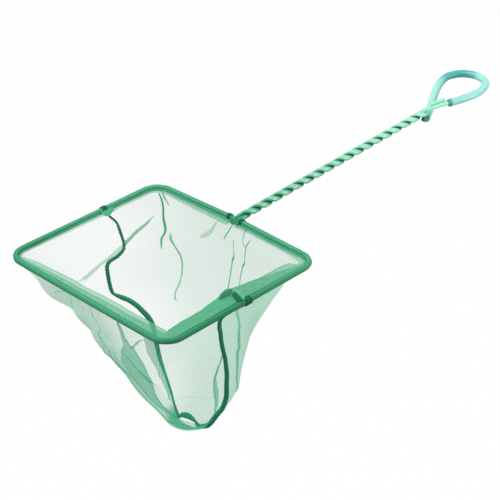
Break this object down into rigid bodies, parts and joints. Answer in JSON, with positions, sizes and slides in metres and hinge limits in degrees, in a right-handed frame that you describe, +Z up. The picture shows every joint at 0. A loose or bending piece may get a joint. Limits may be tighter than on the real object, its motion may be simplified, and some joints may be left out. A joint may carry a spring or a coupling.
{
  "type": "aquarium fish net",
  "caption": "Hand net of coated wire: a square hoop with a hemmed mesh bag, a twisted two-strand handle and a sleeved hanging loop.",
  "frame": {"origin": "on the axis of the twisted handle, 130 mm from the hoop, where a hand or a clip holds it", "axes": "+X along the net, away from the hoop and towards the hanging loop; +Y across the hoop; +Z up, away from the bag"},
  "size_m": [0.3958, 0.15, 0.1411],
  "materials": {
    "core_wire": "drawn, unpolished",
    "wire_coat": "glossy extruded PVC",
    "sleeve": "translucent extruded vinyl",
    "hem_fabric": "knitted nylon, doubled",
    "thread": "spun sewing thread",
    "net_fabric": "fine open knitted mesh"
  },
  "bodies": {
    "root": {"wire_core": "core_wire", "hoop_coat": "wire_coat", "left_strand_coat": "wire_coat", "right_strand_coat": "wire_coat", "loop_coat": "wire_coat", "loop_sleeve": "sleeve", "hem_near": "hem_fabric", "hem_left": "hem_fabric", "hem_right": "hem_fabric", "stitching_near": "thread", "stitching_left": "thread", "stitching_right": "thread", "tack_left": "thread", "tack_right": "thread", "slot_tacks": "thread", "net_near": "net_fabric", "net_far": "net_fabric", "bag_seam": "thread"}
  },
  "joints": []
}
